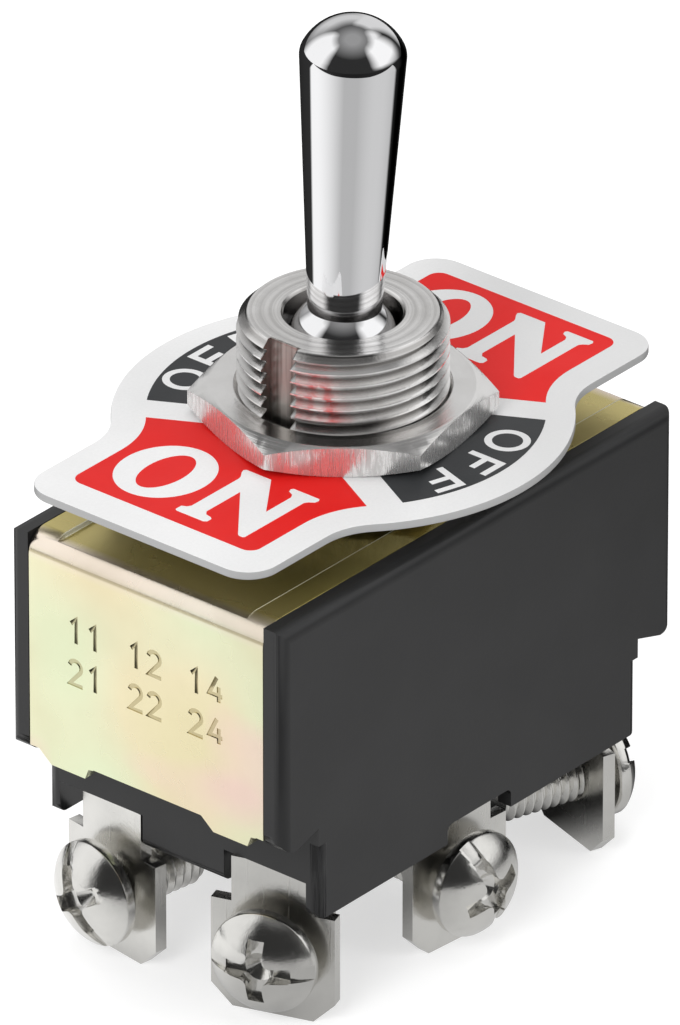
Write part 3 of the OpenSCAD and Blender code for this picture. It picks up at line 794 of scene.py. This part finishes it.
def set_screws():
    """Copies the pattern screw into its six places, each left at the turn it was driven to."""
    pattern = make_screw()
    up = Vector((0, 0, 1))
    for number, turn in enumerate(SCREW_TURNS, 1):
        node = f"screw_{number}"
        out = Vector(joints[node + "_travel"]["axis"]).normalized()
        side = Vector((-out.y, out.x, 0))
        seat = reach(node, out)[1] - HEAD_TALL * MM
        middle = out * seat + side * sum(reach(node, side)) / 2 + up * sum(reach(node, up)) / 2
        aim = Matrix.Rotation(math.atan2(out.y, out.x), 4, "Z")
        piece = copy_of(pattern, f"terminal_screw_{number}")
        place(piece, Matrix.Translation(middle) @ aim @ turned(90, "Y") @ turned(turn, "Z"))
        fit_up(piece, node + "_body", "nickel_screw", screw_nickel, node)
    bpy.data.objects.remove(pattern)


# ---------------------------------------------------------------- printed legend

PRINT_AT = Vector((0.36 * MM, 0.1 * MM, 0))
INK = 0.012 * MM


def ink_blank():
    """The area inside the plate's bare margin, as a thin slab."""
    end, half, corner, disc, fillet = plate_end / MM - 1.92, 6.65, 0.75, 11.25, 5.85
    far = math.sqrt((disc + fillet) ** 2 - (half + fillet) ** 2)
    meet = math.degrees(math.atan2(half + fillet, far))
    quarter = arc(end - corner, half - corner, corner, 0, 90, 8)
    quarter += arc(far, half + fillet, fillet, -90, meet - 180, 14)
    quarter += arc(0, 0, disc, meet, 90, 24)[1:]
    half_round = quarter + [(-x, y) for x, y in reversed(quarter[:-1])]
    outline = half_round + [(x, -y) for x, y in reversed(half_round)]
    return slab("ink_blank", scaled(outline), plate_top - 0.01 * MM, plate_top + INK)


def letter(outline):
    """A tool in a letter's shape, thick enough to cut through the ink."""
    return slab("letter", scaled(outline), -1 * MM, 1 * MM)


def ring_letter(x, y, hole_y, outer, inner):
    """An O from its middle, its opening's height and the radii of both ovals."""
    piece = letter([(x + across, y + up) for across, up in oval(*outer)])
    hole = slab("hole", scaled([(x + across, hole_y + up) for across, up in oval(*inner)]), -2 * MM, 2 * MM)
    return join_cut(piece, hole, "DIFFERENCE")


def letter_o():
    """A broad serif O, heavy at its sides, standing on zero with its width from zero."""
    return ring_letter(2.75, 3.05, 3.07, (2.8, 3.18), (1.2, 2.2))


def letter_n():
    """A serif N with a heavy diagonal."""
    return letter([
        (0.0, 0.12), (0.16, 0.0), (2.12, 0.0), (2.3, 0.14), (2.3, 0.5), (2.12, 0.66), (1.72, 0.74),
        (1.52, 1.0), (1.52, 3.9), (4.56, 0.1), (4.72, 0.0), (4.98, 0.0), (5.06, 0.12), (5.06, 5.2),
        (5.2, 5.42), (5.5, 5.62), (5.56, 5.92), (5.42, 6.12), (3.58, 6.12), (3.46, 5.98), (3.56, 5.7),
        (3.94, 5.52), (4.08, 5.26), (4.08, 3.1), (1.92, 6.12), (0.12, 6.12), (0.0, 5.98), (0.1, 5.72),
        (0.38, 5.3), (0.44, 5.1), (0.44, 1.0), (0.3, 0.76), (0.0, 0.62)])


def letter_f():
    """A plain F drawn with a broad pen."""
    return letter([(0, 0), (0.45, 0), (0.45, 1.02), (1.6, 1.02), (1.6, 1.44), (0.45, 1.44), (0.45, 2.03),
                   (1.88, 2.03), (1.88, 2.46), (0, 2.46)])


def letter_round():
    """A plain O drawn with the same pen."""
    return ring_letter(1.22, 1.23, 1.23, (1.26, 1.32), (0.82, 0.88))


def ink_field(name, blank, sides, letters, colour):
    """One printed field: the blank kept on the inner side of each line, with its letters left bare."""
    piece = copy_of(blank, name)
    for point, normal in sides:
        edit(piece)
        bpy.ops.mesh.bisect(plane_co=point, plane_no=normal, use_fill=True, clear_outer=True,
                            threshold=1e-8)
        bpy.ops.object.mode_set(mode="OBJECT")
    eye = slab("eye", arc(0, 0, 6.7 * MM, 0, 350, 35), plate_top - 1 * MM, plate_top + 1 * MM)
    join_cut(piece, eye, "DIFFERENCE")
    for make_letter, matrix in letters:
        tool = place(make_letter(), Matrix.Translation((0, 0, plate_top)) @ matrix)
        join_cut(piece, tool, "DIFFERENCE")
    place(piece, Matrix.Translation(PRINT_AT))
    fit_up(piece, "switch_body", "legend_print", colour)


def field_side(x, y, sx, sy, outward):
    """A field's slanting side through a point, on the given quarter."""
    slope = math.radians(28)
    normal = Vector((math.cos(slope) * sx, -math.sin(slope) * sy, 0)) * outward
    return (x * sx * MM, y * sy * MM, plate_top), normal


def set_at(x, y, turn):
    """A letter's place on the plate: moved within its word, then turned with it."""
    return turned(turn, "Z") @ Matrix.Translation((x * MM, y * MM, 0))


def print_legend():
    """Four fields: ON on each wing, OFF on each side of the round middle."""
    blank = ink_blank()
    for name, way, face, base in (("near", -1, 180, -15.04), ("far", 1, 0, 9.06)):
        sides = [field_side(6.27, 9.36, sx, way, 1) for sx in (1, -1)]
        sides += [((0, 0, 0), Vector((0, -way, 0)))]
        letters = [(letter_round, set_at(-1.22, 8.5, face + 18.2)), (letter_f, set_at(-0.94, 8.45, face)),
                   (letter_f, set_at(-0.94, 8.5, face - 17.4))]
        ink_field(f"legend_off_{name}", blank, sides, letters, black_ink)
        sides = [field_side(7.8, 7.95, way, sy, -1) for sy in (1, -1)]
        sides += [((0, 0, 0), Vector((-way, 0, 0)))]
        letters = [(letter_o, set_at(-5.85, base, -90)), (letter_n, set_at(0.1, base, -90))]
        ink_field(f"legend_on_{name}", blank, sides, letters, red_ink)
    bpy.data.objects.remove(blank)


# ---------------------------------------------------------------- frame

# The pen's strokes for each figure, in mm, standing on zero
STROKES = {
    "1": [[(0.12, 1.2), (0.5, 1.55), (0.5, 0)]],
    "2": [arc(0.43, 1.1, 0.43, 170, -30, 8) + [(0.02, 0), (0.95, 0)]],
    "4": [[(0.6, 1.55), (0.05, 0.42), (1.0, 0.42)], [(0.74, 0), (0.74, 0.98)]],
}
PEN = 0.27
FIGURE_STEP = 1.38


def ribbon(path, wide):
    """The outline of a line drawn with a pen of that width."""
    sides = ([], [])
    for i, here in enumerate(path):
        before, after = path[max(i - 1, 0)], path[min(i + 1, len(path) - 1)]
        first = (Vector(here) - Vector(before)).normalized() if i else None
        last = (Vector(after) - Vector(here)).normalized() if i < len(path) - 1 else None
        first, last = first or last, last or first
        middle = (first + last).normalized()
        step = Vector((-middle.y, middle.x)) * wide / 2 / max(middle.dot(first), 0.5)
        sides[0].append(Vector(here) + step)
        sides[1].append(Vector(here) - step)
    return sides[0] + sides[1][::-1]


def stamp(piece, number, along, rise):
    """Presses a number into the front end, read from outside, centred at a place along it."""
    at_face = Matrix.Translation((end_face, 0, frame_top + rise * MM)) @ turned(-90, "Z") @ turned(90, "X")
    for i, figure in enumerate(number):
        left = (i - len(number) / 2) * FIGURE_STEP + 0.2 - along
        for path in STROKES[figure]:
            stroke = ribbon([(x + left, y) for x, y in path], PEN)
            outline = [(point * MM).to_tuple() for point in stroke]
            tool = slab("punch", outline, -STAMP_DEPTH, 0.5 * MM)
            join_cut(piece, place(tool, at_face), "DIFFERENCE")


def make_frame():
    """The plated frame with two rows of stamped terminal numbers on its front end."""
    piece = soften(worked("frame", "frame_stamped"), 0.12 * MM, 28, 3)
    for row, rise in (("1", -5.9), ("2", -8.55)):
        for figure, along in (("1", 4.4), ("2", 0), ("4", -4.4)):
            stamp(piece, row + figure, along, rise)
    edit(piece)
    flatten(0.3)
    return fit_up(smooth(piece, 28), "switch_body", "plated_frame", plated_frame, "frame")


# ---------------------------------------------------------------- the rest of the switch


def dress(node, name, body, slot, finish, edge):
    """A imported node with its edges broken, by that many mm, and its finish on."""
    piece = soften(worked(node, name), edge * MM)
    return fit_up(piece, body, slot, finish, node)


def make_nut(node, name):
    """A nut whose bore closes on the thread, opened out at both faces."""
    piece = worked(node, name)
    low, high = (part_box(node)[end].z / MM for end in (0, 1))
    inner, outer = THREAD_ROOT + 0.06, THREAD_R + 0.15
    ring = [(inner, low + 0.3), (outer, low + 0.02), (outer, high - 0.02), (inner, high - 0.3)]
    join_cut(piece, lathe("ring", ring + ring[:1]), "UNION")
    soften(piece, 0.09 * MM, 20)
    return fit_up(piece, "switch_body", "nickel", nut_nickel, node)


def make_body_pieces():
    """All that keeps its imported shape, with its edges broken."""
    dress("housing", "housing_moulded", "switch_body", "black_plastic", black_plastic, 0.12)
    make_nut("upper_nut", "nut_upper")
    make_nut("lower_nut", "nut_lower")
    dress("lock_washer", "washer_toothed", "switch_body", "steel", steel, 0.05)
    dress("legend_plate", "plate_bare", "switch_body", "legend_print", bare_plate, 0.06)
    for number in range(1, 7):
        dress(f"terminal_{number}", f"tab_{number}", "switch_body", "nickel", tab_nickel, 0.08)
    for number in (1, 3, 4, 6):
        dress(f"contact_{number}", f"rivet_contact_{number}", "switch_body", "silver", silver, 0.1)
    for side in ("near", "far"):
        dress(f"rocker_post_{side}", f"rivet_post_{side}", "switch_body", "brass", brass, 0.08)
        dress(f"rocker_{side}", f"rocker_arm_{side}", f"rocker_{side}_body", "copper", copper, 0.06)
        dress(f"plunger_{side}", f"plunger_pin_{side}", "lever_body", "brass", brass, 0.03)


def finish_inner_nodes():
    """The pieces on the lever that are shown as packed get their finish only."""
    inner = {"lever_pin": steel, "actuator": white_nylon, "spring_near": steel, "spring_far": steel}
    for node, finish in inner.items():
        for slot in nodes[node].material_slots:
            slot.material = finish


make_bushing()
make_lever()
set_screws()
make_frame()
make_body_pieces()
print_legend()
finish_inner_nodes()


# ---------------------------------------------------------------- studio

AZIMUTH = math.radians(-50.14)
HEIGHT = math.radians(28.84)
DISTANCE = 1.148
# What the camera takes in from side to side, at the switch
VIEW_WIDE = 38.202247 * MM
SENSOR = 36
side_way = Vector((math.cos(AZIMUTH), math.sin(AZIMUTH), 0))
back_way = Vector((math.sin(AZIMUTH) * math.cos(HEIGHT), -math.cos(AZIMUTH) * math.cos(HEIGHT),
                   math.sin(HEIGHT)))
up_way = back_way.cross(side_way)

# Light panels that polished metal sees: bearing of the middle, half width, softness of the sides,
# lowest and highest angle, softness of these, all in degrees, and brightness
PANELS = (
    (-97, 34, 10, -12, 62, 9, 1.02),
    (86, 34, 12, 10, 60, 9, 1.06),
    (112, 26, 12, 40, 62, 8, 0.9),
    (160, 18, 8, -8, 52, 8, 0.74),
    (-172, 34, 16, 2, 44, 14, 0.66),
)


def set_camera():
    """A long lens, aimed a little below the frame's top."""
    aim = Vector((0, 0, frame_top)) - side_way * 0.18 * MM - up_way * 2.612 * MM
    bpy.ops.object.camera_add(location=aim + back_way * DISTANCE)
    camera = bpy.context.object
    camera.rotation_euler = Matrix((side_way, up_way, back_way)).transposed().to_euler()
    camera.data.sensor_fit = "HORIZONTAL"
    camera.data.sensor_width = SENSOR
    camera.data.lens = SENSOR * DISTANCE / VIEW_WIDE
    camera.data.clip_start = 0.05
    camera.data.clip_end = 20
    bpy.context.scene.camera = camera


def dot(tree, value, way):
    """How far a place or direction reaches along a way."""
    made = put(tree, "ShaderNodeVectorMath", {"operation": "DOT_PRODUCT"}, _0=value, _1=tuple(way))
    return made.outputs["Value"]


def bearing(degrees):
    """A level direction, counted from the side the switch is shown from, to the right."""
    turn = math.radians(degrees)
    level = Vector((back_way.x, back_way.y, 0)).normalized()
    return level * math.cos(turn) + side_way * math.sin(turn)


def toward(tree, flat, centre, half, soft):
    """1 for level directions within half a width of a centre, falling away over soft."""
    near, far = (math.cos(math.radians(half - soft)), math.cos(math.radians(half + soft)))
    return above(tree, dot(tree, flat, bearing(centre)), far, near)


def flattened(tree, value):
    """The level part of a direction or place, of length one."""
    level = put(tree, "ShaderNodeVectorMath", {"operation": "MULTIPLY"}, _0=value, _1=(1, 1, 0))
    return put(tree, "ShaderNodeVectorMath", {"operation": "NORMALIZE"}, _0=level.outputs[0]).outputs[0]


def panel_light(tree, flat, rise, centre, half, soft, low, high, edge, level):
    """How bright one light panel is in a direction."""
    wide = toward(tree, flat, centre, half, soft)
    turns = [math.radians(angle) for angle in (low - edge, low + edge, high + edge, high - edge)]
    foot = above(tree, rise, turns[0], turns[1])
    head = above(tree, rise, turns[2], turns[3])
    return times(tree, times(tree, wide, foot), times(tree, head, level))


def either(tree, share, first, second):
    """First or second shader, by a share of 0 or 1."""
    return put(tree, "ShaderNodeMixShader", None, _0=share, _1=first, _2=second).outputs[0]


def glow(tree, kind, strength):
    """A white light source of the given kind of shader."""
    return put(tree, kind, None, Color=(1, 1, 1, 1), Strength=strength).outputs[0]


def set_world():
    """A white studio; metal sees light panels around it, a grey ceiling and a dark room between."""
    world = bpy.data.worlds.new("studio")
    bpy.context.scene.world = world
    world.use_nodes = True
    tree = world.node_tree
    tree.nodes.clear()
    sight = put(tree, "ShaderNodeTexCoord").outputs["Generated"]
    flat = flattened(tree, sight)
    rise = sums(tree, "ARCSINE", dot(tree, sight, (0, 0, 1)))
    shine = scale_to(tree, rise, math.radians(46), math.radians(78), 0.03, 0.34)
    for panel in PANELS:
        shine = sums(tree, "MAXIMUM", shine, panel_light(tree, flat, rise, *panel))
    soft, white, mirror = (glow(tree, "ShaderNodeBackground", strength) for strength in (0.55, 1.0, shine))
    rays = put(tree, "ShaderNodeLightPath").outputs
    seen = sums(tree, "MAXIMUM", rays["Is Camera Ray"], rays["Is Transmission Ray"])
    unseen = either(tree, rays["Is Glossy Ray"], soft, mirror)
    put(tree, "ShaderNodeOutputWorld", None, Surface=either(tree, seen, unseen, white))


def floor_shine(tree):
    """What polished metal sees of the floor: a table top, brighter to the left, with a painted shadow under
    the switch.
    """
    spot = coords(tree)
    flat = flattened(tree, spot)
    front = dot(tree, spot, bearing(0))
    table = times(tree, scale_to(tree, front, -0.028, -0.018, 0.03, 1.0),
                  scale_to(tree, front, 0.122, 0.112, 0.03, 1.0))
    tone = plus(tree, between(tree, toward(tree, flat, -95, 45, 32), 0.51, 1.04),
                between(tree, toward(tree, flat, 62, 30, 20), 0.0, 0.15))
    tone = times(tree, tone, between(tree, toward(tree, flat, 134, 17, 7), 1.0, 0.03))
    # Painted shadow: the floor's reflection is darkened under and near the switch.
    parts = split(tree, spot)
    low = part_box("housing")[0]
    past_end = minus(tree, unsigned(tree, parts[0]), -low.x)
    past_side = minus(tree, unsigned(tree, parts[1]), -low.y)
    past = sums(tree, "MAXIMUM", past_end, past_side)
    clear = scale_to(tree, past, -9 * MM, -1 * MM, 0.12, 1.0)
    return times(tree, times(tree, table, tone), clear)


def set_floor():
    """A plain pale floor that keeps the switch's shadow."""
    let_go()
    bpy.ops.mesh.primitive_circle_add(vertices=96, radius=6, fill_type="NGON")
    floor = bpy.context.object
    floor.name = "floor"
    made, tree, shader = paint("floor_white", 0.0, 0.9)
    shader.inputs["Base Color"].default_value = (0.55, 0.55, 0.55, 1)
    shader.inputs["Specular IOR Level"].default_value = 0.0
    rays = put(tree, "ShaderNodeLightPath").outputs
    lit = put(tree, "ShaderNodeAddShader", None, _0=shader.outputs[0],
              _1=glow(tree, "ShaderNodeEmission", 0.6)).outputs[0]
    plain = either(tree, rays["Is Camera Ray"], shader.outputs[0], lit)
    mirror = glow(tree, "ShaderNodeEmission", floor_shine(tree))
    last = either(tree, rays["Is Glossy Ray"], plain, mirror)
    tree.links.new(last, tree.nodes["Material Output"].inputs["Surface"])
    floor.data.materials.append(made)


def set_lamp(name, place_at, size, power):
    """A soft box aimed at the switch."""
    bpy.ops.object.light_add(type="AREA", location=place_at)
    lamp = bpy.context.object
    lamp.name = name
    lamp.data.shape = "DISK"
    lamp.data.size = size
    lamp.data.energy = power
    aim = Vector((0, 0, frame_top)) - Vector(place_at)
    lamp.rotation_euler = aim.to_track_quat("-Z", "Y").to_euler()
    lamp.visible_glossy = False


set_camera()
set_world()
set_floor()
set_lamp("softbox_left", (-0.9, -0.2, 0.7), 0.6, 5.6)
set_lamp("softbox_right", (0.3, -0.9, 0.6), 0.5, 2.0)
set_lamp("softbox_top", (0.1, 0.1, 1.2), 0.8, 4.2)
bpy.context.scene.view_settings.view_transform = "Standard"
